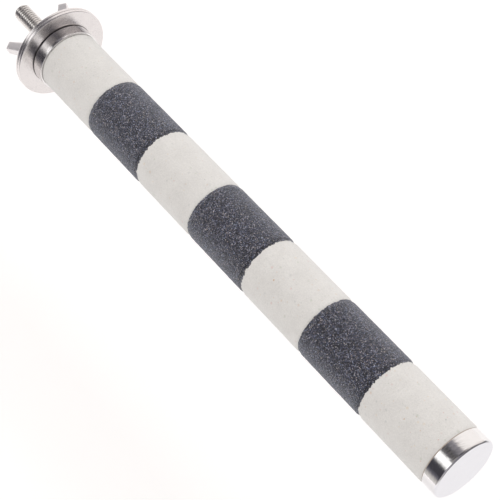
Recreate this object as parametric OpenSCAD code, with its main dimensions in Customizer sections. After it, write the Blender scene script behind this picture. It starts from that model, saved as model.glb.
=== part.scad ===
// Cage perch: a wooden dowel with moulded bands of grit between two steel caps, and a stud with two washers
// and a wing nut that clamps it to the wires of a cage.
// Millimetres. The stud and the dowel lie along X, with the free end at +X, and Z is up. The origin is on their
// axis, where the cage wires are pinched: the plane in which the two washers meet.

/* [Perch] */
// Diameter of the wooden dowel
dowel_d = 20; // [14:0.5:30]
// Thickness of the grit coat, and of the end cap that lies flush with it
coat_t = 0.75; // [0.6:0.05:2]
// How much thinner the coat is pressed where the base cap grips it
coat_squeeze = 0.25; // [0.2:0.05:0.4]
// Length over which the coat rises out of the base cap to its full thickness
coat_rise = 0.3; // [0.1:0.05:1]
// Length of one band of grit
band_l = 27.25; // [15:0.25:40]

/* [Caps] */
// Length of the end cap at the free end
end_cap_l = 5.35; // [3:0.05:12]
// Radius of the end cap's outer edge
end_cap_round = 1; // [0.4:0.05:1.3]
// Length of the base cap at the cage end
base_cap_l = 4.8; // [3:0.1:12]
// Wall of the base cap
base_cap_wall = 0.8; // [0.6:0.05:1.2]
// Radius of the base cap's outer edge
base_cap_round = 0.8; // [0.3:0.05:0.8]
// Radius of the edge at the base cap's mouth
base_cap_lip = 0.2; // [0.1:0.05:0.3]

/* [Washers] */
// Diameter of both washers
washer_d = 33.4; // [28:0.1:50]
// Thickness of each washer
washer_t = 1.2; // [0.8:0.1:3]
// Radius of each washer's edges
washer_round = 0.35; // [0.1:0.05:0.35]
// Radial play between a washer's hole and the stud
washer_play = 0.2; // [0.1:0.05:0.5]

/* [Hanger bolt] */
// Diameter of the machine thread
stud_d = 6; // [4:0.5:8]
// Length of the stud beyond the clamping plane
stud_l = 24.5; // [20:0.5:40]
// Radius by which the stud's tip is chamfered
stud_tip = 0.8; // [0.3:0.1:1.2]
// Pitch of the machine thread
thread_pitch = 1; // [0.7:0.05:1.25]
// Length of the wood thread inside the dowel
wood_thread_l = 28; // [15:1:60]
// Pitch of the wood thread
wood_pitch = 2.8; // [2:0.1:4]
// Depth of the wood thread
wood_depth = 0.9; // [0.4:0.1:1.2]

/* [Wing nut] */
// Diameter of the hub at the washer
hub_d = 12.6; // [11:0.1:16]
// Diameter of the hub at its top
hub_top_d = 9.8; // [8.6:0.1:10.8]
// Height of the hub
hub_h = 8; // [6:0.5:12]
// Distance between the tips of the wings
wing_span = 25.8; // [22:0.2:40]
// Height of the wings above the washer
wing_h = 14.3; // [12:0.1:18]
// Thickness of a wing
wing_t = 2.8; // [1.5:0.1:4]
// Radius of a wing's corners
wing_round = 0.9; // [0.5:0.1:1.2]
// Depth of the countersink at both ends of the nut's bore
nut_lead = 0.5; // [0.2:0.1:0.8]
// Direction of one wing, from +Y towards +Z, when the nut is tight
wing_angle = 15; // [0:5:175]

/* [Fits] */
// Radial gap that the glue fills between the dowel, the coat and the caps
glue_gap = 0.05; // [0.02:0.01:0.1]
// Radial clearance between the stud and the nut's bore
thread_gap = 0.05; // [0.03:0.01:0.08]
// Radial gap between the wood thread and the hole that it cuts in the dowel
pilot_gap = 0.05; // [0.02:0.01:0.1]

/* [Hidden] */
$fn = 96;
// Seven bands in a row, white at both ends
band_count = 7;
// How far every cutting shape runs past what it cuts
overrun = 1;

// Radii, from the inside out
dowel_r = dowel_d / 2;
skin_in_r = dowel_r + glue_gap;
skin_r = skin_in_r + coat_t;
capped_r = skin_r - coat_squeeze;
base_cap_in_r = capped_r + glue_gap;
base_cap_r = base_cap_in_r + base_cap_wall;
stud_r = stud_d / 2;
// A rolled thread's plain shank is as thick as the middle of the thread
pitch_line_share = 0.65;
shank_r = stud_r - thread_pitch * pitch_line_share / 2;
washer_hole_r = stud_r + washer_play;
nut_bore_r = stud_r + thread_gap;
pilot_r = stud_r + pilot_gap;

// Places along the axis, from the clamping plane to the free end
base_x = washer_t;
seat_x = base_x + base_cap_wall;
base_rim_x = base_x + base_cap_l;
end_rim_x = base_rim_x + band_count * band_l;
end_x = end_rim_x + end_cap_l;
dowel_end_x = end_x - coat_t;
// The hanger bolt's plain shank runs from the clamping plane to the dowel's end
wood_end_x = seat_x + wood_thread_l;
pilot_end_x = wood_end_x + wood_pitch;

// A cylinder along X from x = from to x = to
module rod(from, to, r, r_end = undef) {
    translate([from, 0, 0])
        rotate([0, 90, 0])
            cylinder(h = to - from, r1 = r, r2 = is_undef(r_end) ? r : r_end);
}

// A ring of round section about the X axis, which rounds the edge of a cup or a washer
module ring(x, r, section_r) {
    translate([x, 0, 0])
        rotate([0, 90, 0])
            rotate_extrude()
                translate([r, 0])
                    circle(section_r);
}

// A polygon whose corners are rounded: each point is [x, y, radius of the corner]
corner_steps = 5;
function unit(v) = v / norm(v);
function corner(before, at, after, r) =
    r == 0 ? [at] :
    let (to_before = unit(before - at),
         to_after = unit(after - at),
         half = acos(to_before * to_after) / 2,
         centre = at + unit(to_before + to_after) * r / sin(half),
         start = at + to_before * r / tan(half) - centre,
         stop = at + to_after * r / tan(half) - centre,
         from = atan2(start.y, start.x),
         sweep = atan2(start.x * stop.y - start.y * stop.x, start * stop))
    [for (i = [0 : corner_steps])
        centre + r * [cos(from + sweep * i / corner_steps), sin(from + sweep * i / corner_steps)]];
function rounded(p) = [for (i = [0 : len(p) - 1])
    let (n = len(p), a = p[(i + n - 1) % n], b = p[i], c = p[(i + 1) % n])
    each corner([a.x, a.y], [b.x, b.y], [c.x, c.y], b.z)];

// The dowel, with the hole that the hanger bolt's wood thread cuts
module dowel_core() {
    color("burlywood")
        difference() {
            rod(seat_x, dowel_end_x, dowel_r);
            rod(seat_x - overrun, pilot_end_x, pilot_r);
        }
}

// One band of grit, number i of the row. The first also reaches down into the base cap, which grips it there.
module band(i) {
    first = i == 1;
    from = base_rim_x + (i - 1) * band_l;
    to = from + band_l;
    difference() {
        union() {
            rod(first ? from + coat_rise : from, to, skin_r);
            if (first) {
                rod(seat_x, from, capped_r);
                rod(from, from + coat_rise, capped_r, skin_r);
            }
        }
        rod(seat_x - overrun, to + overrun, skin_in_r);
    }
}

// White bands lie at the odd places, dark bands between them
module white_band(n) {
    color("gainsboro")
        band(2 * n - 1);
}

module dark_band(n) {
    color("slategray")
        band(2 * n);
}

// The drawn cup on the free end
module end_cap() {
    color("silver")
        difference() {
            union() {
                rod(end_rim_x, end_x - end_cap_round, skin_r);
                rod(end_rim_x, end_x, skin_r - end_cap_round);
                ring(end_x - end_cap_round, skin_r - end_cap_round, end_cap_round);
            }
            rod(end_rim_x - overrun, dowel_end_x, skin_in_r);
        }
}

// The drawn cup on the cage end, with a hole for the stud. Its mouth has a rounded edge.
module base_cap() {
    color("silver")
        difference() {
            union() {
                rod(base_x, base_x + base_cap_round, base_cap_r - base_cap_round);
                ring(base_x + base_cap_round, base_cap_r - base_cap_round, base_cap_round);
                rod(base_x + base_cap_round, base_rim_x - base_cap_lip, base_cap_r);
                ring(base_rim_x - base_cap_lip, base_cap_r - base_cap_lip, base_cap_lip);
                rod(base_x + base_cap_round, base_rim_x, base_cap_r - base_cap_lip);
            }
            rod(seat_x, base_rim_x + overrun, base_cap_in_r);
            rod(base_x - overrun, seat_x + overrun, washer_hole_r);
        }
}

// The stud with its machine thread, the plain shank and the wood thread, in one piece
module hanger_bolt() {
    color("silver") {
        rod(-stud_l, -stud_l + stud_tip, stud_r - stud_tip, stud_r);
        rod(-stud_l + stud_tip, 0, stud_r);
        rod(0, seat_x, shank_r);
        rod(seat_x, wood_end_x, stud_r - wood_depth);
        rod(wood_end_x, pilot_end_x, stud_r - wood_depth, 0);
        for (x = [seat_x : wood_pitch : wood_end_x - wood_pitch])
            wood_tooth(x);
    }
}

// One turn of the wood thread, steep towards the cage and sloping towards the tip
module wood_tooth(x) {
    rise_share = 0.2;
    fall_share = 0.5;
    rise = wood_pitch * rise_share;
    fall = wood_pitch * fall_share;
    rod(x, x + rise, stud_r - wood_depth, stud_r);
    rod(x + rise, x + rise + fall, stud_r, stud_r - wood_depth);
}

// A flat washer with rounded edges, from x = from to from + washer_t
module washer(from) {
    rim_r = washer_d / 2;
    difference() {
        union() {
            rod(from + washer_round, from + washer_t - washer_round, rim_r);
            rod(from, from + washer_t, rim_r - washer_round);
            ring(from + washer_round, rim_r - washer_round, washer_round);
            ring(from + washer_t - washer_round, rim_r - washer_round, washer_round);
        }
        rod(from - overrun, from + washer_t + overrun, washer_hole_r);
    }
}

module front_washer() {
    color("silver")
        washer(0);
}

module rear_washer() {
    color("silver")
        washer(-washer_t);
}

// The wing nut: a tapered hub with a bore, and two wings that flare out and back from the washer
module wing_nut() {
    color("silver")
        translate([-washer_t, 0, 0])
            rotate([wing_angle, 0, 0])
                difference() {
                    union() {
                        rod(-hub_h, 0, hub_top_d / 2, hub_d / 2);
                        wing();
                        mirror([0, 1, 0])
                            wing();
                    }
                    rod(-hub_h - overrun, overrun, nut_bore_r);
                    rod(-nut_lead, overrun, nut_bore_r, nut_bore_r + nut_lead + overrun);
                    rod(-hub_h - overrun, -hub_h + nut_lead, nut_bore_r + nut_lead + overrun, nut_bore_r);
                }
}

// One wing. Its outline is drawn as [distance from the axis, height above the washer, radius of the corner]:
// out from the hub's foot to the tip, over the top and down to the hub's shoulder.
module wing() {
    tip = wing_span / 2;
    foot = hub_d / 2;
    shoulder = hub_top_d / 2;
    clear = washer_round;
    top_in_share = 0.84;
    tip_h_share = 0.89;
    outline = rounded([[shoulder - wing_round, clear, 0],
                       [foot, clear, 0],
                       [tip, wing_h * tip_h_share, wing_round],
                       [tip * top_in_share, wing_h, wing_round],
                       [shoulder - wing_round, hub_h - clear, 0]]);
    rotate([0, 0, 90])
        translate([0, 0, -wing_t / 2])
            linear_extrude(height = wing_t)
                polygon(outline);
}

dowel_core();
white_band(1);  // white_band_1
dark_band(1);  // dark_band_1
white_band(2);  // white_band_2
dark_band(2);  // dark_band_2
white_band(3);  // white_band_3
dark_band(3);  // dark_band_3
white_band(4);  // white_band_4
end_cap();
base_cap();
hanger_bolt();
front_washer();
rear_washer();
wing_nut();
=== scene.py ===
# %% [markdown]
# # A perch for a cage, with bands of grit
# The real perch is a wooden dowel with a thin coat of mineral grit moulded on it: white and dark bands in turn.
# A drawn steel cup closes each end, and a stud with two large washers and a wing nut clamps it to the cage wires.
# The construction is finished already, so this lesson only dresses it. It starts by loading the solids as a fixed
# frame, in metres, with the perch along X, its free end at +X, and the cage wires at x = 0.

# %% Load the fixed frame
import math

import bmesh
import bpy
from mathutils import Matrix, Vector


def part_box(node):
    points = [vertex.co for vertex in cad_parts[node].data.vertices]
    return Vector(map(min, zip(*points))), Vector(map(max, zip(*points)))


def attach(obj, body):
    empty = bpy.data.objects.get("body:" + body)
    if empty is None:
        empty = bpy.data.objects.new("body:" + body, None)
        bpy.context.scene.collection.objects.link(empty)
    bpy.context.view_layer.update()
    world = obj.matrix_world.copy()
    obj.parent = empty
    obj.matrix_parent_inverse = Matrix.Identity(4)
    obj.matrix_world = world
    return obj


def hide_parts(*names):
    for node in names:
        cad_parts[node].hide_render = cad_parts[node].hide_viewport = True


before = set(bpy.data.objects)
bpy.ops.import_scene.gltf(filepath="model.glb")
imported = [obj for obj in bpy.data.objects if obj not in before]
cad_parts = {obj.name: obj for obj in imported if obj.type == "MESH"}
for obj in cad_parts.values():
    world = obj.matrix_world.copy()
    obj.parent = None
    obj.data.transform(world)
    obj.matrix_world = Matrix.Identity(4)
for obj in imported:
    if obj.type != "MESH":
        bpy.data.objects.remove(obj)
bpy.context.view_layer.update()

MM = 0.001

# %% [markdown]
# ## Where things are
# Every place below comes from the boxes of the solids, so a dressed piece sits where its solid sits. A turned piece
# needs only two things of its solid: where it lies along the axis and how far it reaches from it.

# %% Read places from the solids
def span(node):
    """Where a node starts and ends along the axis, in metres."""
    low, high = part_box(node)
    return low.x, high.x


def reach(node):
    """How far a node reaches from the axis."""
    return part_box(node)[1].z


BANDS = ["white_band_1", "dark_band_1", "white_band_2", "dark_band_2", "white_band_3", "dark_band_3", "white_band_4"]
coat_r = reach("dark_band_1")
coat_in_r = reach("dowel_core") + 0.05 * MM
cap_from, cap_to = span("base_cap")
cap_seat = span("dowel_core")[0]
end_from, end_to = span("end_cap")
tip_x = span("hanger_bolt")[0]
nut_foot = span("wing_nut")[1]
print("coat radius, mm:", round(coat_r / MM, 2), " perch ends at", round(end_to / MM, 2))

# %% [markdown]
# ## The camera
# The photograph looks down on the perch from beyond its free end, 52 degrees above the horizon, with a fairly long
# lens that still lets the far end look smaller. The camera is placed first, so that each later step can be looked at.

# %% Set the camera
eye = Vector((333.06, -173.59, 369.30)) * MM
aim = Vector((80.93, 18.72, -40.96)) * MM
lens = bpy.data.cameras.new("camera")
lens.sensor_width = 36
lens.lens = 110.83
lens.clip_start = 0.01
camera = bpy.data.objects.new("camera", lens)
bpy.context.scene.collection.objects.link(camera)
camera.location = eye
camera.rotation_mode = "QUATERNION"
camera.rotation_quaternion = (aim - eye).to_track_quat("-Z", "Y")
bpy.context.scene.camera = camera
print("camera distance, mm:", round((aim - eye).length / MM))

# %% [markdown]
# ## A way to write shaders as sums
# A finish is a small calculation: noise plus noise, times a mask. A Wire holds one output of a node, and the signs
# + - * / > and < on it add the Math nodes, so a finish reads like the sentence that describes it. Every other kind
# of node comes from the one method node(). All patterns are laid out in millimetres of the piece itself.

# %% The wires and the finish that holds them
class Wire:
    """One output socket, and the arithmetic on it."""

    def __init__(self, finish, socket):
        self.finish = finish
        self.socket = socket

    def math(self, operation, first, second):
        """One Math node."""
        return self.finish.node("Math", {"operation": operation}, {0: first, 1: second})

    def __add__(self, other):
        return self.math("ADD", self, other)

    def __radd__(self, other):
        return self.math("ADD", other, self)

    def __sub__(self, other):
        return self.math("SUBTRACT", self, other)

    def __rsub__(self, other):
        return self.math("SUBTRACT", other, self)

    def __mul__(self, other):
        return self.math("MULTIPLY", self, other)

    def __rmul__(self, other):
        return self.math("MULTIPLY", other, self)

    def __truediv__(self, other):
        return self.math("DIVIDE", self, other)

    def __gt__(self, other):
        return self.math("GREATER_THAN", self, other)

    def __lt__(self, other):
        return self.math("LESS_THAN", self, other)


class Finish:
    """A material that is being wired up."""

    def __init__(self, name):
        self.material = bpy.data.materials.new(name)
        self.material.use_nodes = True
        self.tree = self.material.node_tree
        self.tree.nodes.clear()

    def node(self, kind, settings=None, sockets=None, out=0):
        """Adds a node: its settings first, then the values or wires of its sockets. Returns one output."""
        made = self.tree.nodes.new("ShaderNode" + kind)
        for name, value in (settings or {}).items():
            if name == "stops":
                self.set_stops(made.color_ramp, value)
            else:
                setattr(made, name, value)
        for name, value in (sockets or {}).items():
            if isinstance(value, Wire):
                self.tree.links.new(value.socket, made.inputs[name])
            else:
                made.inputs[name].default_value = value
        return Wire(self, made.outputs[out])

    @staticmethod
    def set_stops(ramp, stops):
        """Gives a colour ramp its stops, each a place from 0 to 1 and a colour."""
        while len(ramp.elements) < len(stops):
            ramp.elements.new(0.5)
        for element, (place, colour) in zip(ramp.elements, stops):
            element.position = place
            element.color = colour if len(colour) == 4 else (*colour, 1)

    def place_mm(self):
        """The point on the piece, in millimetres."""
        here = self.node("TexCoord", out="Object")
        return self.node("VectorMath", {"operation": "SCALE"}, {0: here, "Scale": 1 / MM})

    def axes(self, point):
        """The three numbers of a point."""
        return [self.node("SeparateXYZ", sockets={0: point}, out=i) for i in range(3)]

    def noise(self, point, scale, detail=2.0, roughness=0.5):
        """Clouds with so many lumps to a millimetre."""
        return self.node("TexNoise", None,
                         {"Vector": point, "Scale": scale, "Detail": detail, "Roughness": roughness}, "Fac")

    def cells(self, point, scale, out="Distance"):
        """Cells with so many to a millimetre: how far the nearest centre is, or a Color of each cell's own."""
        return self.node("TexVoronoi", None, {"Vector": point, "Scale": scale}, out)

    def ramp(self, value, stops, interpolation="LINEAR"):
        """A colour for each value, from stops."""
        made = self.node("ValToRGB", {"stops": stops}, {"Fac": value})
        made.socket.node.color_ramp.interpolation = interpolation
        return made

    def step(self, value, low, high):
        """0 below low, 1 above high, and a smooth rise between them."""
        return self.node("MapRange", {"interpolation_type": "SMOOTHSTEP"},
                         {"Value": value, "From Min": low, "From Max": high})

    def mix(self, factor, first, second):
        """A colour between two colours."""
        return self.node("Mix", {"data_type": "RGBA"}, {0: factor, 6: first, 7: second}, out=2)

    def tint(self, colour, amount):
        """A colour made darker or lighter by a number that changes over the surface."""
        grey = self.node("CombineXYZ", sockets={0: amount, 1: amount, 2: amount})
        return self.node("VectorMath", {"operation": "MULTIPLY"}, {0: colour, 1: grey})

    def bump(self, height, distance, strength):
        """A normal for relief that stands up by distance, in metres."""
        return self.node("Bump", None, {"Height": height, "Distance": distance, "Strength": strength})

    def done(self, **sockets):
        """Ends in one Principled shader. A name's underscores stand for spaces."""
        shader = self.node("BsdfPrincipled", None, {name.replace("_", " "): v for name, v in sockets.items()})
        end = self.tree.nodes.new("ShaderNodeOutputMaterial")
        self.tree.links.new(shader.socket, end.inputs["Surface"])
        return self.material


print("finish helpers ready")

# %% [markdown]
# ## White grit
# The white bands are fine mineral grit in a pale binder. Close up the surface is matte and softly mottled, with grains
# of a quarter of a millimetre, small pits, and now and then a coloured grain: rust, ochre, red, olive or grey. Three
# sizes of noise give the mottling and the grain, and one layer of cells the pits, which are painted a little darker as
# painted shade. Three more layers of cells give the coloured grains: many faint ones, smaller clear ones, and a few
# that stand out. A band is painted a little darker where the next dark one begins, as painted shade of its shoulder,
# and it is stained brown where it meets the end cap.

# %% Mix the white grit
FIRST_BAND_MM = 6.0
PAIR_MM = 54.5
END_SEAM_MM = (196.35, 196.6)
# each row: cells to a millimetre, share of cells left out, size in cells, strength of the colour
SPECKS = ((0.55, 0.45, 0.22, 0.30), (1.1, 0.86, 0.16, 0.6), (0.36, 0.8, 0.09, 0.9))
SPECK_COLOURS = [
    (0.0, (0.62, 0.38, 0.20)), (0.30, (0.74, 0.56, 0.34)), (0.52, (0.66, 0.34, 0.30)),
    (0.68, (0.45, 0.50, 0.38)), (0.84, (0.45, 0.46, 0.46))]


def band_place(finish, x):
    """How far a point is through a pair of bands: 0 to 0.5 is white, 0.5 to 1 is dark."""
    return finish.node("Math", {"operation": "FRACT"}, {0: (x - FIRST_BAND_MM) / PAIR_MM})


def white_grit():
    finish = Finish("white_grit")
    here = finish.place_mm()
    x = finish.axes(here)[0]
    mottle = finish.noise(here, 0.22, 3.0)
    grain = finish.noise(here, 2.2, 2.0, 0.6)
    fine = finish.noise(here, 6.0, 1.0)
    body = finish.mix(mottle, (0.725, 0.699, 0.677, 1), (0.855, 0.828, 0.804, 1))
    shade = 0.80 + grain * 0.26 + fine * 0.14
    pit = finish.cells(here, 0.9)
    pit_pick = finish.axes(finish.cells(here, 0.9, "Color"))[0]
    in_pit = (1 - finish.step(pit, 0.10, 0.24)) * (pit_pick > 0.6)
    # painted shade: the pits are painted 7 % darker for the shade in their hollows
    shade = shade * (1 - in_pit * 0.07)
    colour = finish.tint(body, shade)
    for scale, share, size, depth in SPECKS:
        speck = finish.cells(here, scale)
        pick = finish.axes(finish.cells(here, scale, "Color"))
        speck_r = size * (0.5 + pick[1])
        in_speck = (1 - finish.step(speck / speck_r, 0.3, 1.2)) * (pick[0] > share)
        colour = finish.mix(in_speck * depth, colour, finish.ramp(pick[2], SPECK_COLOURS, "CONSTANT"))
    place = band_place(finish, x)
    # painted shade: the end of a white band, where a dark one begins, is painted darker for the shade of its shoulder
    painted_joint_shade = finish.step(place, 0.482, 0.5) * (place < 0.6)
    stain = finish.step(x, *END_SEAM_MM)
    colour = finish.tint(colour, 1 - painted_joint_shade * 0.14)
    colour = finish.mix(stain * 0.75, colour, (0.30, 0.19, 0.11, 1))
    relief = grain * 0.6 + fine * 0.4 - in_pit * 0.7
    return finish.done(Base_Color=colour, Roughness=0.74 + grain * 0.2, Sheen_Weight=0.8, Sheen_Roughness=0.45,
                       Normal=finish.bump(relief, 0.14 * MM, 0.6))


WHITE = white_grit()
print("made", WHITE.name)

# %% [markdown]
# ## Dark grit
# The dark bands are sharper: blue-grey abrasive grains of a quarter of a millimetre, packed side by side. Most are
# near black, some are grey, and a few are painted near white as painted glints. One layer of cells gives each grain
# its own shade, its own cast from brown to blue and its own gloss, and a finer layer breaks the grains into chips. The
# edges of a grain sink into the binder, and they are painted darker as painted shade. The last part of a band before
# the next white one is painted darker too, as painted shade of its shoulder.

# %% Mix the dark grit
GRAINS_PER_MM = 4.5
CHIPS_PER_MM = 7.4
# the grains' own shades from black to grey; the last stops, up to near white, are painted glints
DARK_SHADES_AND_GLINTS = [
    (0.0, (0.001, 0.002, 0.005)), (0.34, (0.005, 0.007, 0.017)), (0.54, (0.028, 0.032, 0.060)),
    (0.70, (0.10, 0.108, 0.17)), (0.81, (0.40, 0.405, 0.51)), (0.92, (1.0, 0.98, 0.98))]


def dark_grit():
    finish = Finish("dark_grit")
    here = finish.place_mm()
    grain = finish.axes(finish.cells(here, GRAINS_PER_MM, "Color"))
    chip = finish.axes(finish.cells(here, CHIPS_PER_MM, "Color"))
    depth = finish.cells(here, GRAINS_PER_MM)
    patch = finish.noise(here, 0.35, 3.0)
    shade = finish.ramp(grain[0] * 0.66 + chip[0] * 0.34, DARK_SHADES_AND_GLINTS)
    cast = finish.mix(grain[1], (1.26, 1.03, 0.80, 1), (0.80, 0.95, 1.30, 1))
    colour = finish.node("Mix", {"data_type": "RGBA", "blend_type": "MULTIPLY"}, {0: 1.0, 6: shade, 7: cast}, 2)
    # painted shade: each grain is painted darker towards its edge, where it sinks between its neighbours
    painted_crevice_shade = finish.step(depth, 0.35, 0.8)
    place = band_place(finish, finish.axes(here)[0])
    # painted shade: the last part of a dark band, before the white one, is painted darker for the shade of its shoulder
    painted_joint_shade = finish.step(place, 0.962, 0.998)
    colour = finish.tint(colour, (0.92 - painted_crevice_shade * 0.72) * (0.88 + patch * 0.24) * (1 - painted_joint_shade * 0.35))
    relief = 1 - depth + grain[1] * 0.35
    return finish.done(Base_Color=colour, Roughness=0.40 + grain[2] * 0.4, Specular_IOR_Level=0.75,
                       Sheen_Weight=0.74, Sheen_Roughness=0.38, Sheen_Tint=(0.85, 0.89, 1.0, 1),
                       Normal=finish.bump(relief, 0.17 * MM, 0.9))


DARK = dark_grit()
print("made", DARK.name)

# %% [markdown]
# ## Steel
# The caps and washers are polished stainless steel. Polishing leaves hair-fine lines round a turned piece, a few
# scratches, and a haze that changes a little from place to place. The caps, drawn from sheet, also keep slow ripples,
# which fray the edges of what they mirror. The stud and the cast nut are duller. One recipe serves all of them, with
# the haze, the depth of the lines, the tone, the peening and the ripples as its dials. The joint between the base cap
# and its washer is painted dark as painted shade, and the roots of the thread are painted dark for dirt and for the
# shade in them.

# %% Mix the steels
# the colour of the painted shade in the base cap's joint, and of the dirt and painted shade in the thread roots
SHADE_AND_DIRT = (0.05, 0.045, 0.042, 1)


def steel(name, haze, lines, tone, peening, shade_and_dirt_at=None, ripples=0.0):
    """shade_and_dirt_at says how much painted shade and dirt a place gets, from x and the radius in millimetres."""
    finish = Finish(name)
    here = finish.place_mm()
    x, y, z = finish.axes(here)
    radius = finish.node("Math", {"operation": "SQRT"}, {0: y * y + z * z})
    uneven = finish.noise(here, 0.3) * 2.0
    round_lines = finish.node("CombineXYZ", sockets={0: x * 6.0, 1: radius * 6.0, 2: uneven})
    line = finish.noise(round_lines, 1.6, 3.0, 0.7)
    cloud = finish.noise(here, 0.35, 3.0, 0.6)
    peen = finish.noise(here, 2.4, 3.0, 0.6)
    drawn_out = finish.node("VectorMath", {"operation": "MULTIPLY"}, {0: here, 1: (2.4, 0.5, 0.9)})
    scratched = 1 - finish.step(finish.cells(drawn_out, 1.0), 0.0, 0.07)
    rough = haze * (0.75 + cloud * 0.5) + (line - 0.5) * haze * 0.35 + scratched * 0.25
    relief = line * lines + peen * peening
    if ripples:
        stretched = finish.node("VectorMath", {"operation": "MULTIPLY"}, {0: here, 1: (1.5, 0.5, 0.5)})
        relief = relief + finish.noise(stretched, 1.0, 2.0) * ripples
    colour = finish.mix(cloud, tone, tuple(0.93 * c for c in tone[:3]) + (1,))
    if shade_and_dirt_at:
        shade_and_dirt_amount = shade_and_dirt_at(finish, x, radius)
        colour = finish.mix(shade_and_dirt_amount, colour, SHADE_AND_DIRT)
        rough = rough + shade_and_dirt_amount * 0.3
    return finish.done(Base_Color=colour, Metallic=1.0, Roughness=rough,
                       Normal=finish.bump(relief, 0.004 * MM, 0.5))


def painted_seam_shade(finish, x, radius):
    """Painted shade in the joint between the base cap and the front washer."""
    ring = finish.step(radius, 10.3, 10.7) * (1 - finish.step(radius, 11.25, 11.75))
    low = finish.step(x, 1.0, 1.15) * (1 - finish.step(x, 1.25, 1.6))
    return ring * low * 0.7


def root_dirt_and_shade(finish, x, radius):
    """Dirt and painted shade in the bottoms of the stud's thread."""
    return (1 - finish.step(radius, 2.53, 2.84)) * (x < -0.1) * 0.4


CAP_STEEL = steel("cap_steel", 0.12, 1.0, (0.80, 0.785, 0.78, 1), 4.0, painted_seam_shade, 22.0)
WASHER_STEEL = steel("washer_steel", 0.26, 1.0, (0.76, 0.728, 0.722, 1), 4.0, painted_seam_shade)
STUD_STEEL = steel("stud_steel", 0.2, 0.6, (0.76, 0.735, 0.715, 1), 2.0, root_dirt_and_shade)
NUT_STEEL = steel("nut_steel", 0.44, 0.0, (0.87, 0.84, 0.845, 1), 8.0)
print("made", [m.name for m in (CAP_STEEL, WASHER_STEEL, STUD_STEEL, NUT_STEEL)])

# %% [markdown]
# ## Wood
# The dowel is hidden by the coat and the caps, but it is there, so it gets beech: pale, with fine long fibres along X
# and faint rings. It shows only if someone takes the perch apart.

# %% Mix the wood and lay it on the dowel
def beech():
    finish = Finish("beech")
    here = finish.place_mm()
    x, y, z = finish.axes(here)
    along = finish.node("CombineXYZ", sockets={0: x * 0.05, 1: y, 2: z})
    fibre = finish.noise(along, 3.0, 4.0, 0.7)
    ring = finish.node("TexWave", {"wave_type": "RINGS", "rings_direction": "X"},
                       {"Vector": along, "Scale": 0.25, "Distortion": 3.0, "Detail": 2.0})
    colour = finish.mix(fibre * 0.6 + ring * 0.3, (0.62, 0.42, 0.24, 1), (0.42, 0.26, 0.13, 1))
    return finish.done(Base_Color=colour, Roughness=0.6 + fibre * 0.2, Normal=finish.bump(fibre, 0.05 * MM, 0.5))


WOOD = beech()
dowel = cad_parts["dowel_core"]
dowel.data.materials.clear()
dowel.data.materials.append(WOOD)
print("made", WOOD.name)

# %% [markdown]
# ## Working by hand, in code
# The pieces are modelled with the same operators that a modeller would press. An operator works on what is selected,
# so two helpers do the selecting: only() leaves one piece selected and active, and pick() selects, in edit mode, the
# corners, edges or faces whose middle passes a test.

# %% Helpers for selecting and finishing
def only(piece):
    """Leaves one piece selected and active."""
    bpy.ops.object.select_all(action="DESELECT")
    piece.select_set(True)
    bpy.context.view_layer.objects.active = piece


def pick(kind, test):
    """In edit mode, selects the VERT, EDGE or FACE elements whose middle passes the test. Returns how many."""
    bpy.ops.mesh.select_mode(type=kind)
    bpy.ops.mesh.select_all(action="DESELECT")
    mesh = bmesh.from_edit_mesh(bpy.context.edit_object.data)
    found = 0
    for part in {"VERT": mesh.verts, "EDGE": mesh.edges, "FACE": mesh.faces}[kind]:
        corners = [part] if kind == "VERT" else list(part.verts)
        middle = sum((v.co for v in corners), Vector()) / len(corners)
        if test(middle):
            part.select_set(True)
            found += 1
    mesh.select_flush_mode()
    bmesh.update_edit_mesh(bpy.context.edit_object.data)
    return found


def near(a, b, within=0.001 * MM):
    """Whether two places are the same but for rounding."""
    return abs(a - b) < within


def use(piece, kind, **settings):
    """Adds a modifier with these settings and applies it."""
    only(piece)
    modifier = piece.modifiers.new(kind.lower(), kind)
    for name, value in settings.items():
        setattr(modifier, name, value)
    bpy.ops.object.modifier_apply(modifier=modifier.name)


def dress(piece, node, body, material, smooth_deg=40, weigh=True):
    """Gives a finished piece its shading, its finish, and the solid that it stands for."""
    only(piece)
    piece.data.materials.clear()
    piece.data.materials.append(material)
    bpy.ops.object.transform_apply(location=True, rotation=True, scale=True)
    bpy.ops.object.shade_smooth_by_angle(angle=math.radians(smooth_deg))
    if weigh:
        use(piece, "WEIGHTED_NORMAL", keep_sharp=True, weight=80)
    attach(piece, body)
    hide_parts(node)
    piece.data.calc_loop_triangles()
    print(piece.name, "triangles:", len(piece.data.loop_triangles))


print("modelling helpers ready")

# %% [markdown]
# ## Turning a piece
# Caps, washers and sleeves are all bodies of revolution. Half of such a piece is easiest to draw as its cut face: a
# plane between the axis and the rim, with its corners bevelled. Spinning the outline of that face round X makes the
# piece, as a lathe would.

# %% Draw a cut face and turn it
def cut_face(name, x_from, x_to, r_from, r_to):
    """Adds the cut face of a turned piece, a rectangle above the axis, and stays in edit mode."""
    bpy.ops.object.select_all(action="DESELECT")
    bpy.ops.mesh.primitive_plane_add(size=1, rotation=(math.radians(90), 0, 0),
                                     location=((x_from + x_to) / 2, 0, (r_from + r_to) / 2))
    piece = bpy.context.object
    piece.name = name
    piece.scale = (x_to - x_from, r_to - r_from, 1)
    bpy.ops.object.transform_apply(location=True, rotation=True, scale=True)
    bpy.ops.object.mode_set(mode="EDIT")
    return piece


def round_corner(x, r, radius, segments=6):
    """Rounds the corner of the cut face at x and r."""
    found = pick("VERT", lambda p: near(p.x, x) and near(p.z, r))
    assert found == 1, (found, x, r)
    bpy.ops.mesh.bevel(offset=radius, segments=segments, affect="VERTICES", offset_type="OFFSET")


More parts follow.
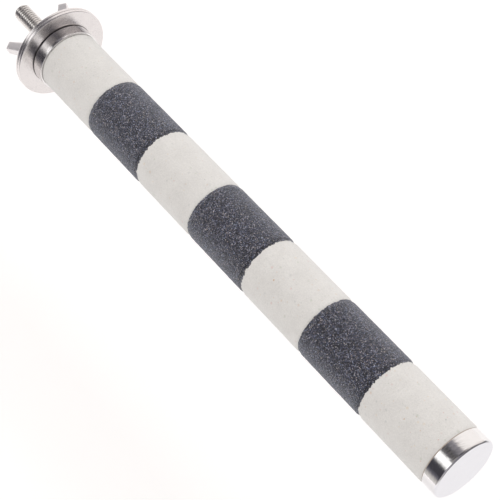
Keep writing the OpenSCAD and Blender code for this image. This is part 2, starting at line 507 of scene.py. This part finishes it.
def turn(piece, steps):
    """Spins the cut face's outline round the axis into a closed body, and leaves edit mode."""
    bpy.ops.mesh.select_mode(type="FACE")
    bpy.ops.mesh.select_all(action="SELECT")
    bpy.ops.mesh.dissolve_faces()
    bpy.ops.mesh.select_all(action="SELECT")
    bpy.ops.mesh.delete(type="ONLY_FACE")
    pick("EDGE", lambda p: p.z < 0.001 * MM)
    bpy.ops.mesh.delete(type="EDGE")
    bpy.ops.mesh.select_mode(type="VERT")
    bpy.ops.mesh.select_all(action="SELECT")
    bpy.ops.mesh.spin(steps=steps, angle=math.tau, center=(0, 0, 0), axis=(1, 0, 0))
    bpy.ops.mesh.select_all(action="SELECT")
    bpy.ops.mesh.remove_doubles(threshold=0.002 * MM)
    bpy.ops.mesh.normals_make_consistent(inside=False)
    bpy.ops.object.mode_set(mode="OBJECT")


print("lathe ready")

# %% [markdown]
# ## The two washers
# Each washer is a flat ring with softened edges. They are large because they have to bridge the gap between two cage
# wires. The cut face is a thin rectangle from the hole to the rim.

# %% Turn the washers
washer_round = 0.35 * MM
washer_hole_r = 3.2 * MM
STEPS = 256


def washer(node, body):
    """Turns one washer and gives it to its body."""
    x_from, x_to = span(node)
    rim = reach(node)
    piece = cut_face(node + "_turned", x_from, x_to, washer_hole_r, rim)
    for x in (x_from, x_to):
        round_corner(x, rim, washer_round)
        round_corner(x, washer_hole_r, washer_round * 0.4, 3)
    turn(piece, STEPS)
    dress(piece, node, body, WASHER_STEEL)


washer("front_washer", "perch")
washer("rear_washer", "rear_washer")

# %% [markdown]
# ## The two caps
# Both caps are drawn from sheet, so both are cups with a rounded outer edge. Their cut face is an L. The end cap lies
# flush with the coat. The base cap is wider: it grips the coat, its mouth stands proud, and it has a hole for the stud.

# %% Turn the caps
end_round = 1.0 * MM
mouth_round = 0.12 * MM
base_round = 0.8 * MM
lip_round = 0.2 * MM


def end_cap():
    """The cup on the free end."""
    wall = coat_r - coat_in_r
    piece = cut_face("end_cap_turned", end_to - wall, end_to, 0, coat_in_r)
    pick("EDGE", lambda p: near(p.z, coat_in_r))
    bpy.ops.mesh.extrude_region_move(TRANSFORM_OT_translate={"value": (0, 0, wall)})
    pick("EDGE", lambda p: near(p.x, end_to - wall) and p.z > coat_in_r)
    bpy.ops.mesh.extrude_region_move(TRANSFORM_OT_translate={"value": (end_from - end_to + wall, 0, 0)})
    round_corner(end_to, coat_r, end_round, 8)
    round_corner(end_from, coat_r, mouth_round, 3)
    turn(piece, STEPS)
    dress(piece, "end_cap", "perch", CAP_STEEL)


def base_cap():
    """The cup at the cage end, with its hole."""
    rim = reach("base_cap")
    wall = cap_seat - cap_from
    piece = cut_face("base_cap_turned", cap_from, cap_seat, washer_hole_r, rim - wall)
    pick("EDGE", lambda p: near(p.z, rim - wall))
    bpy.ops.mesh.extrude_region_move(TRANSFORM_OT_translate={"value": (0, 0, wall)})
    pick("EDGE", lambda p: near(p.x, cap_seat) and p.z > rim - wall)
    bpy.ops.mesh.extrude_region_move(TRANSFORM_OT_translate={"value": (cap_to - cap_seat, 0, 0)})
    round_corner(cap_from, rim, base_round, 8)
    round_corner(cap_to, rim, lip_round, 4)
    round_corner(cap_to, rim - wall, lip_round, 4)
    turn(piece, STEPS)
    dress(piece, "base_cap", "perch", CAP_STEEL)


end_cap()
base_cap()

# %% [markdown]
# ## The bands of grit
# A band is a sleeve 0.75 mm thick. What makes it grit is its skin: grains that stand up, a soft shoulder where the
# mould ended each band, and a joint line that wanders by a fraction of a millimetre. The skin is therefore turned
# with many small faces and pushed in and out by textures. Both sleeves at a joint read the same texture there with
# the same weight, so their wandering edges still meet. A dark band ends more raggedly than a white one. Under the
# base cap the coat is pressed thinner, and there it stays smooth.

# %% Turn the sleeves and raise their grain
row = 0.22 * MM
around = 312
shoulder_depth = 0.24 * MM
shoulder_length = 1.1 * MM
joint_wander = 1.5 * MM
wander_rows = 5
cap_squeeze = 0.25 * MM
cap_shadow = 0.3 * MM
RAGGED = {"white": 0.35, "dark": 1.0}
OTHER = {"white": "dark", "dark": "white"}


def relief_texture(name, kind, size, **settings):
    """A texture whose lumps are size across."""
    texture = bpy.data.textures.new(name, kind)
    texture.noise_scale = size
    for key, value in settings.items():
        setattr(texture, key, value)
    return texture


wander = relief_texture("joint_wander", "CLOUDS", 0.65 * MM, noise_depth=3)
GRAINS = {
    "white": [(relief_texture("white_grain", "CLOUDS", 0.45 * MM, noise_depth=1), 0.05 * MM),
              (relief_texture("white_swell", "CLOUDS", 5 * MM), 0.08 * MM)],
    "dark": [(relief_texture("dark_grain", "VORONOI", 0.42 * MM), -0.16 * MM),
             (relief_texture("dark_chips", "CLOUDS", 0.3 * MM, noise_depth=1), 0.06 * MM),
             (relief_texture("dark_swell", "CLOUDS", 5 * MM), 0.08 * MM)]}


def soften_end(x):
    """Lowers the outer corner at x, and the skin next to it, into a soft shoulder."""
    pick("VERT", lambda p: near(p.x, x) and near(p.z, coat_r))
    bpy.ops.transform.translate(value=(0, 0, -shoulder_depth), use_proportional_edit=True,
                                use_proportional_connected=True,
                                proportional_edit_falloff="SPHERE", proportional_size=shoulder_length)


def group_rows(piece, name, weight_at):
    """Makes a vertex group whose weight follows from the vertex's place."""
    group = piece.vertex_groups.new(name=name)
    for vertex in piece.data.vertices:
        weight = weight_at(vertex.co)
        if weight > 0:
            group.add([vertex.index], weight, "REPLACE")


def sleeve(node):
    """Turns one band and raises its grain."""
    x_from, x_to = span(node)
    kind = node.split("_")[0]
    first = node == BANDS[0]
    last = node == BANDS[-1]
    skin_from = cap_to + cap_shadow if first else x_from
    piece = cut_face(node + "_grit", skin_from, x_to, coat_in_r, coat_r)
    pick("EDGE", lambda p: near(p.z, coat_r))
    bpy.ops.mesh.subdivide(number_cuts=round((x_to - skin_from) / row) - 1)
    if not first:
        soften_end(x_from)
    soften_end(x_to)
    if first:
        pick("EDGE", lambda p: near(p.x, skin_from))
        bpy.ops.mesh.extrude_region_move(TRANSFORM_OT_translate={"value": (cap_to - skin_from, 0, 0)})
        pick("VERT", lambda p: near(p.x, cap_to) and p.z > coat_in_r + 0.1 * MM)
        bpy.ops.transform.translate(value=(0, 0, -cap_squeeze))
        pick("EDGE", lambda p: near(p.x, cap_to))
        bpy.ops.mesh.extrude_region_move(TRANSFORM_OT_translate={"value": (cap_seat - cap_to, 0, 0)})
    turn(piece, around)
    skin_r = coat_r - shoulder_depth - 0.05 * MM
    joints = {skin_from: 0.3} if first else {x_from: RAGGED[OTHER[kind]]}
    if not last:
        joints[x_to] = RAGGED[kind]

    def skin(co):
        return 1.0 if math.hypot(co.y, co.z) > skin_r and co.x > skin_from - 0.01 * MM else 0.0

    def joint(co):
        return max((1 - abs(co.x - x) / row / wander_rows) * share for x, share in joints.items())

    group_rows(piece, "skin", skin)
    group_rows(piece, "joint", joint)
    use(piece, "DISPLACE", texture=wander, direction="X", strength=joint_wander, mid_level=0.5,
        vertex_group="joint")
    for texture, strength in GRAINS[kind]:
        use(piece, "DISPLACE", texture=texture, strength=strength, mid_level=0.5, vertex_group="skin")
    dress(piece, node, "perch", {"white": WHITE, "dark": DARK}[kind], 60, weigh=False)


for node in BANDS:
    sleeve(node)

# %% [markdown]
# ## The thread
# A thread is one tooth that climbs as it goes round. The tooth is a small wedge drawn as a cut face, and the Screw
# modifier carries it round the axis, one pitch up for each turn. Joined with a core and trimmed by a turned envelope,
# it becomes the stud, with a chamfer in which the thread runs out. The same recipe with other numbers gives the
# coarse wood thread inside the dowel, and the tap that cuts the nut.

# %% Cut threads
def combine(piece, tool, operation):
    """Joins, cuts or crops piece with tool, then merges the points that the cut left on top of each other."""
    use(piece, "BOOLEAN", object=tool, operation=operation, solver="EXACT")
    bpy.data.objects.remove(tool)
    only(piece)
    bpy.ops.object.mode_set(mode="EDIT")
    bpy.ops.mesh.select_all(action="SELECT")
    bpy.ops.mesh.remove_doubles(threshold=0.001 * MM)
    bpy.ops.object.mode_set(mode="OBJECT")
    return piece


COIL_STEPS = 48


def tooth_coil(name, x_from, turns, pitch, root_r, crest_r, root_w, crest_w, soft=0):
    """A right-handed ridge of trapezoid section round the X axis, its crest rounded by soft."""
    piece = cut_face(name, x_from - root_w / 2, x_from + root_w / 2, root_r, crest_r)
    pick("EDGE", lambda p: near(p.z, crest_r))
    bpy.ops.transform.resize(value=(crest_w / root_w, 1, 1), center_override=(x_from, 0, 0))
    if soft:
        pick("VERT", lambda p: near(p.z, crest_r))
        bpy.ops.mesh.bevel(offset=soft, segments=2, affect="VERTICES")
    bpy.ops.object.mode_set(mode="OBJECT")
    use(piece, "SCREW", axis="X", angle=math.tau, screw_offset=pitch, iterations=turns,
        steps=COIL_STEPS, render_steps=COIL_STEPS, use_normal_calculate=True)
    only(piece)
    bpy.ops.object.mode_set(mode="EDIT")
    bpy.ops.mesh.select_all(action="SELECT")
    bpy.ops.mesh.remove_doubles(threshold=0.002 * MM)
    bpy.ops.mesh.select_all(action="DESELECT")
    bpy.ops.mesh.select_mode(type="EDGE")
    bpy.ops.mesh.select_non_manifold()
    bpy.ops.mesh.edge_face_add()
    bpy.ops.mesh.select_all(action="SELECT")
    bpy.ops.mesh.normals_make_consistent(inside=False)
    bpy.ops.object.mode_set(mode="OBJECT")
    return piece


pitch = 1.0 * MM
crest_r = 3.0 * MM
root_r = 2.5 * MM


def machine_coil(name, x_from, x_to, grow=0.0):
    """The ridge of the M6 thread between two places. grow makes it fatter."""
    turns = math.ceil((x_to - x_from) / pitch)
    start = tip_x - 2 * pitch + math.floor((x_from - tip_x) / pitch) * pitch
    return tooth_coil(name, start, turns + 3, pitch, root_r - 0.1 * MM + grow, crest_r + grow,
                      pitch * 0.97, pitch * 0.30 + grow, 0.08 * MM)


def trimmed_coil(name, x_from, x_to, chamfer):
    """The M6 ridge cut to length, with a chamfer at its free end."""
    spare = 0.5 * MM
    envelope = cut_face("envelope", x_from, x_to, 0, crest_r + spare)
    round_corner(x_from, crest_r + spare, chamfer + spare, 1)
    turn(envelope, 96)
    return combine(machine_coil(name, x_from, x_to), envelope, "INTERSECT")


def trace(name, corners):
    """Draws a line from corner to corner, each an (x, r) pair, and stays in edit mode."""
    x, r = corners[0]
    bpy.ops.object.select_all(action="DESELECT")
    bpy.ops.mesh.primitive_plane_add(size=1 * MM, location=(x, 0, r))
    piece = bpy.context.object
    piece.name = name
    bpy.ops.object.transform_apply(location=True, rotation=True, scale=True)
    bpy.ops.object.mode_set(mode="EDIT")
    bpy.ops.mesh.select_all(action="SELECT")
    bpy.ops.mesh.merge(type="CENTER")
    bpy.ops.mesh.select_mode(type="VERT")
    for next_x, next_r in corners[1:]:
        bpy.ops.mesh.extrude_region_move(TRANSFORM_OT_translate={"value": (next_x - x, 0, next_r - r)})
        x, r = next_x, next_r
    return piece


def spin_line(piece, steps):
    """Spins a traced line that starts and ends on the axis into a closed body."""
    bpy.ops.mesh.select_all(action="SELECT")
    bpy.ops.mesh.spin(steps=steps, angle=math.tau, center=(0, 0, 0), axis=(1, 0, 0))
    bpy.ops.mesh.select_all(action="SELECT")
    bpy.ops.mesh.remove_doubles(threshold=0.002 * MM)
    bpy.ops.mesh.normals_make_consistent(inside=False)
    bpy.ops.object.mode_set(mode="OBJECT")


def hanger_bolt():
    """The stud: a traced core with both threads joined on."""
    shank_r = crest_r - 0.325 * MM
    wood_r = crest_r - 0.9 * MM
    wood_end = cap_seat + 28 * MM
    wood_pitch = 2.8 * MM
    chamfer = 0.8 * MM
    point = span("hanger_bolt")[1]
    piece = trace("hanger_bolt_cut", [
        (tip_x, 0), (tip_x, crest_r - chamfer - 0.06 * MM), (tip_x + 0.5 * MM, root_r), (-0.6 * MM, root_r),
        (-0.2 * MM, shank_r), (cap_seat, shank_r), (cap_seat + 0.8 * MM, wood_r), (wood_end, wood_r), (point, 0)])
    spin_line(piece, 64)
    wood_coil = tooth_coil("wood_coil", cap_seat + wood_pitch * 0.8, 9, wood_pitch, wood_r - 0.15 * MM, crest_r,
                           wood_pitch * 0.42, wood_pitch * 0.06)
    combine(piece, wood_coil, "UNION")
    combine(piece, trimmed_coil("machine_coil", tip_x, -0.3 * MM, chamfer), "UNION")
    dress(piece, "hanger_bolt", "perch", STUD_STEEL, 32, weigh=False)


hanger_bolt()

# %% [markdown]
# ## The wing nut
# A cast wing nut starts as a short cone with sixteen sides. The two sides that face out grow into wings, one section
# after another, each higher, further out and thinner than the last. A bevel holds the edges, subdivision rounds what
# lies between them, the tap cuts the thread, and a cone cuts its lead at each end. It is modelled upright, then laid
# on the axis and turned to its angle.

# %% Grow the wings and tap the nut
hub_foot_r, hub_top_r, hub_h = 6.3 * MM, 4.9 * MM, 8.0 * MM
ROOT_HEIGHTS = (1.1, 6.9)
# each wing section in millimetres: (distance, height) of its lower and upper corner, and how thick it is
SECTIONS = [((8.5, 4.8), (6.8, 9.6), 3.9), ((10.8, 8.7), (8.7, 12.1), 3.6), ((13.1, 12.8), (10.5, 14.7), 3.2)]
nut_angle = 15
lead_in, lead_out = 0.6 * MM, 0.4 * MM
lead_r, lead_drop = crest_r + 1.1 * MM, 1.6 * MM


def move_pair(was, to, side):
    """Moves the two corners that lie at one (distance, height) to another."""
    found = pick("VERT", lambda p: near(p.y * side, was[0], 0.02 * MM) and near(p.z, was[1], 0.02 * MM))
    assert found == 2, (found, was, to)
    bpy.ops.transform.translate(value=(0, side * (to[0] - was[0]), to[1] - was[1]))


def grow_wing(side):
    """Extrudes one side of the hub through the sections of a wing."""
    low, high = hub_foot_r, hub_top_r
    flat = math.cos(math.tau / 32)
    at = [((low + (high - low) * h * MM / hub_h) * flat, h * MM) for h in ROOT_HEIGHTS]
    lift = 0.3 * MM
    found = pick("FACE", lambda p: abs(p.x) < 0.1 * MM and p.y * side > 4 * MM and 2 * MM < p.z < 6.5 * MM)
    assert found == 1, found
    for bottom, top, thick in SECTIONS:
        bpy.ops.mesh.extrude_region_move(TRANSFORM_OT_translate={"value": (0, side * lift, 0)})
        at = [(y + lift, z) for y, z in at]
        goal = [tuple(MM * n for n in bottom), tuple(MM * n for n in top)]
        for was, to in zip(at, goal):
            move_pair(was, to, side)
        at = goal

        def in_section(p):
            return any(near(p.y * side, y, 0.02 * MM) and near(p.z, z, 0.02 * MM) for y, z in at)

        pick("VERT", in_section)
        mesh = bmesh.from_edit_mesh(bpy.context.edit_object.data)
        now = max(abs(v.co.x) for v in mesh.verts if v.select)
        bpy.ops.transform.resize(value=(thick * MM / 2 / now, 1, 1), center_override=(0, 0, 0))
        bpy.ops.mesh.select_mode(type="FACE")


def wing_nut():
    """The cast nut, from cone to tapped bore."""
    bpy.ops.object.select_all(action="DESELECT")
    bpy.ops.mesh.primitive_cone_add(vertices=16, radius1=hub_foot_r, radius2=hub_top_r, depth=hub_h,
                                    location=(0, 0, hub_h / 2), rotation=(0, 0, math.tau / 32))
    piece = bpy.context.object
    piece.name = "wing_nut_cast"
    bpy.ops.object.transform_apply(location=True, rotation=True, scale=True)
    bpy.ops.object.mode_set(mode="EDIT")
    for height in ROOT_HEIGHTS:
        bpy.ops.mesh.select_all(action="SELECT")
        bpy.ops.mesh.bisect(plane_co=(0, 0, height * MM), plane_no=(0, 0, 1))
    for side in (1, -1):
        grow_wing(side)
    bpy.ops.mesh.select_all(action="SELECT")
    bpy.ops.mesh.normals_make_consistent(inside=False)
    bpy.ops.object.mode_set(mode="OBJECT")
    use(piece, "BEVEL", width=0.32 * MM, segments=2, limit_method="ANGLE", angle_limit=math.radians(35))
    use(piece, "SUBSURF", levels=2, render_levels=2)
    piece.rotation_euler = (0, -math.pi / 2, 0)
    only(piece)
    bpy.ops.object.transform_apply(location=True, rotation=True, scale=True)
    piece.rotation_euler = (math.radians(nut_angle), 0, 0)
    piece.location = (nut_foot, 0, 0)
    bpy.ops.object.transform_apply(location=True, rotation=True, scale=True)
    bore_r = root_r + 0.05 * MM
    bore = trace("bore", [(nut_foot - hub_h - pitch, 0), (nut_foot - hub_h - pitch, bore_r),
                          (nut_foot + pitch, bore_r), (nut_foot + pitch, 0)])
    spin_line(bore, 64)
    combine(piece, bore, "DIFFERENCE")
    combine(piece, machine_coil("tap", nut_foot - hub_h - pitch, nut_foot + pitch, 0.05 * MM), "DIFFERENCE")
    for x, out in ((nut_foot, 1), (nut_foot - hub_h, -1)):
        lead = cut_face("lead", *sorted((x - out * lead_in, x + out * lead_out)), 0, lead_r)
        pick("VERT", lambda p: near(p.x, x - out * lead_in) and p.z > 1 * MM)
        bpy.ops.transform.translate(value=(0, 0, -lead_drop))
        turn(lead, 80)
        combine(piece, lead, "DIFFERENCE")
    dress(piece, "wing_nut", "wing_nut", NUT_STEEL, weigh=False)


wing_nut()

# %% [markdown]
# ## The room
# The photograph is a product shot on white. The white ground is a sheet of paper some way below the perch, so that
# the shadow on it is soft and faint. To the camera and to mirrors the paper glows a little and the world is white; to
# the matte grit they are plainer. Mirrors see three things more in the paper: it is brighter on the -Y side, cooler
# in front of the free end, and dim further out, which draws the dark line round the end cap's corner.

# %% Floor and world
scene = bpy.context.scene
scene.view_settings.view_transform = "Standard"


def seen_directly(tree):
    """1 for camera, glossy and transmission rays, 0 for the rest."""
    path = tree.nodes.new("ShaderNodeLightPath")
    total = None
    for name in ("Is Camera Ray", "Is Glossy Ray", "Is Transmission Ray"):
        if total is None:
            total = path.outputs[name]
            continue
        most = tree.nodes.new("ShaderNodeMath")
        most.operation = "MAXIMUM"
        tree.links.new(total, most.inputs[0])
        tree.links.new(path.outputs[name], most.inputs[1])
        total = most.outputs[0]
    return total


def level(tree, straight, other):
    """A strength that is one number to the camera and to mirrors and another to the rest."""
    choose = tree.nodes.new("ShaderNodeMapRange")
    tree.links.new(seen_directly(tree), choose.inputs["Value"])
    choose.inputs["To Min"].default_value = other
    choose.inputs["To Max"].default_value = straight
    return choose.outputs[0]


world = bpy.data.worlds.new("room")
world.use_nodes = True
tree = world.node_tree
sky = tree.nodes["Background"]
sky.inputs["Color"].default_value = (1.0, 0.985, 0.965, 1)
tree.links.new(level(tree, 1.1, 0.72), sky.inputs["Strength"])
scene.world = world

FLOOR_Z = -0.09
WARM_PAPER, COOL_PAPER, DIM_PAPER = (1.05, 0.985, 0.98, 1), (0.80, 0.80, 0.96, 1), (0.24, 0.235, 0.25, 1)
bpy.ops.object.select_all(action="DESELECT")
bpy.ops.mesh.primitive_plane_add(size=8, location=(0, 0, FLOOR_Z))
floor = bpy.context.object
floor.name = "floor"
paper = Finish("paper")
x, y = paper.axes(paper.place_mm())[:2]
near_camera = paper.step(x, 110, 240)
past_end = paper.step(x + paper.step(y, -60, 60) * 60, 305, 365)
bright_side = 1 + (1 - paper.step(y, -190, -60)) * 1.6
matte = paper.node("BsdfDiffuse", None, {"Color": (0.9, 0.9, 0.9, 1)})
to_mirrors = Wire(paper, level(paper.tree, 0.3, 0.0)) * bright_side
strength = to_mirrors * (1 - paper.node("LightPath", out="Is Camera Ray") * 0.18)
in_mirrors = paper.node("LightPath", out="Is Glossy Ray")
glow_colour = paper.mix(near_camera * in_mirrors, WARM_PAPER, COOL_PAPER)
glow = paper.node("Emission", None, {"Color": glow_colour, "Strength": strength})
lit = paper.node("AddShader", None, {0: matte, 1: glow})
dim = paper.node("Emission", None, {"Color": DIM_PAPER})
both = paper.node("MixShader", None, {0: past_end * in_mirrors, 1: lit, 2: dim})
end = paper.tree.nodes.new("ShaderNodeOutputMaterial")
paper.tree.links.new(both.socket, end.inputs["Surface"])
floor.data.materials.append(paper.material)
print("floor and world ready")

# %% [markdown]
# ## The tent and the lamps
# Polished steel shows the room, so the room needs what the photographer's had. It is one long tent over the perch,
# drawn as a line across it, pulled out along X and closed at the camera's end. Only mirrors see it. Its brightness
# changes with the direction from the perch, in degrees from +Y up over the top: a bright wide side towards +Y, a
# dark ceiling, and a dark side towards -Y that ends in bright paper. BACK and FRONT are its two ends along X, and END
# is what lies toward the camera. STRIP is one lamp in the ceiling, which leans out at the front. Every edge is soft,
# like that of cloth lit from behind. Two square lamps light the grit: a key from above and a weaker fill.

# %% Tent and lamps
# the line across the tent as (y, z) in metres, where the tent starts along X, and how long it is
TENT_LINE = [(1.7, -0.088), (1.3, 0.9), (0.2, 1.25), (-0.75, 0.95), (-0.98, 0.42), (-0.125, -0.088)]
TENT_FROM, TENT_LENGTH = -2.4, 7.0
# each stop of a wall: degrees, brightness, tint
WARM, BROWN, COOL, SMOKE = (1.0, 0.967, 0.948), (1.03, 0.975, 0.95), (0.97, 0.945, 1.13), (1.0, 0.96, 1.04)
BACK = [(0, 1.18, WARM), (71, 1.18, WARM), (77, 0.78, BROWN), (81, 0.44, SMOKE), (84, 0.33, SMOKE),
        (95, 0.30, SMOKE), (101, 0.13, COOL), (107, 0.04, COOL), (117, 0.05, COOL), (124, 0.18, COOL),
        (146, 0.16, COOL), (157, 0.08, COOL), (170, 0.065, COOL), (183, 0.07, COOL), (191, 0.4, COOL),
        (203, 1.12, WARM), (211, 1.38, WARM), (218, 1.4, WARM)]
FRONT = [(0, 0.92, BROWN), (20, 1.0, BROWN), (50, 1.0, BROWN), (60, 0.76, BROWN), (67, 0.45, BROWN),
         (75, 0.25, BROWN), (82, 0.12, BROWN), (88, 0.08, COOL), (98, 0.12, BROWN), (107, 0.3, BROWN),
         (121, 0.34, BROWN), (150, 0.3, BROWN), (157, 0.1, COOL), (165, 0.06, COOL), (183, 0.06, COOL),
         (193, 0.14, COOL), (202, 0.5, WARM), (218, 0.9, WARM)]
END = [(0, 0.2, SMOKE), (50, 0.15, SMOKE), (95, 0.28, COOL), (110, 0.26, COOL), (127, 0.2, COOL),
       (150, 0.25, COOL), (177, 0.45, COOL), (205, 0.83, WARM), (218, 1.0, WARM)]
STRIP = [(119, 0), (122, 0.06), (127, 0.65), (131, 1.0), (146, 1.0), (151, 0.5), (157, 0.08), (161, 0)]
widest = 220
brightest = 1.4
light = Finish("tent_light")
x, y, z = light.axes(light.place_mm())
direction = light.node("Math", {"operation": "ARCTAN2"}, {0: z, 1: y}) * math.degrees(1)
direction = (direction + (direction < -90) * 360) / widest
back, front, far = (
    light.ramp(direction, [(b / widest, tuple(bright / brightest * c for c in tint)) for b, bright, tint in wall])
    for wall in (BACK, FRONT, END))
across = light.node("Math", {"operation": "SQRT"}, {0: y * y + z * z})
toward_camera = (x - 200) / across
lean = light.step(x, 100, 700) * (2 / widest)
strip = light.ramp(direction - lean, [(b / widest, (bright,) * 3) for b, bright in STRIP])
walls = light.mix(light.step(x, -400, 250), back, front)
bound = 0.45 + light.step(direction, 60 / widest, 85 / widest) * 0.14
walls = light.mix(light.step(toward_camera, bound, bound * 2), walls, far)
sides = light.node("VectorMath", {"operation": "SCALE"}, {0: walls, "Scale": brightest})
strip = light.tint(strip, 1.5 - light.step(toward_camera, 0.75, 1.25) * 1.5)
room = light.node("VectorMath", {"operation": "MAXIMUM"}, {0: sides, 1: strip})
glow = light.node("Emission", None, {"Color": room})
end = light.tree.nodes.new("ShaderNodeOutputMaterial")
light.tree.links.new(glow.socket, end.inputs["Surface"])

tent = trace("tent", [(0, 1.0), (0, 1.1)])
bpy.ops.mesh.select_all(action="SELECT")
bpy.ops.mesh.merge(type="CENTER")
bpy.ops.transform.translate(value=(TENT_FROM, TENT_LINE[0][0], TENT_LINE[0][1] - 1.05))
for (y_was, z_was), (y, z) in zip(TENT_LINE, TENT_LINE[1:]):
    bpy.ops.mesh.extrude_region_move(TRANSFORM_OT_translate={"value": (0, y - y_was, z - z_was)})
bpy.ops.mesh.select_all(action="SELECT")
bpy.ops.mesh.extrude_region_move(TRANSFORM_OT_translate={"value": (TENT_LENGTH, 0, 0)})
bpy.ops.mesh.edge_face_add()
bpy.ops.object.mode_set(mode="OBJECT")
bpy.ops.object.transform_apply(location=True, rotation=True, scale=True)
tent.data.materials.append(light.material)
for ray in ("camera", "diffuse", "transmission", "shadow", "volume_scatter"):
    setattr(tent, "visible_" + ray, False)


def soft_lamp(name, place, size, energy):
    """A square lamp that looks at the perch and isn't seen by mirrors."""
    data = bpy.data.lights.new(name, "AREA")
    data.shape = "SQUARE"
    data.size = size
    data.energy = energy
    piece = bpy.data.objects.new(name, data)
    scene.collection.objects.link(piece)
    piece.location = place
    piece.rotation_mode = "QUATERNION"
    piece.rotation_quaternion = (Vector((0.09, 0, 0)) - piece.location).to_track_quat("-Z", "Y")
    piece.visible_glossy = False


soft_lamp("key", (0.1, 0.75, 0.9), 0.9, 4.0)
soft_lamp("fill", (-0.1, -0.95, -0.02), 0.8, 1.85)
print("room ready")
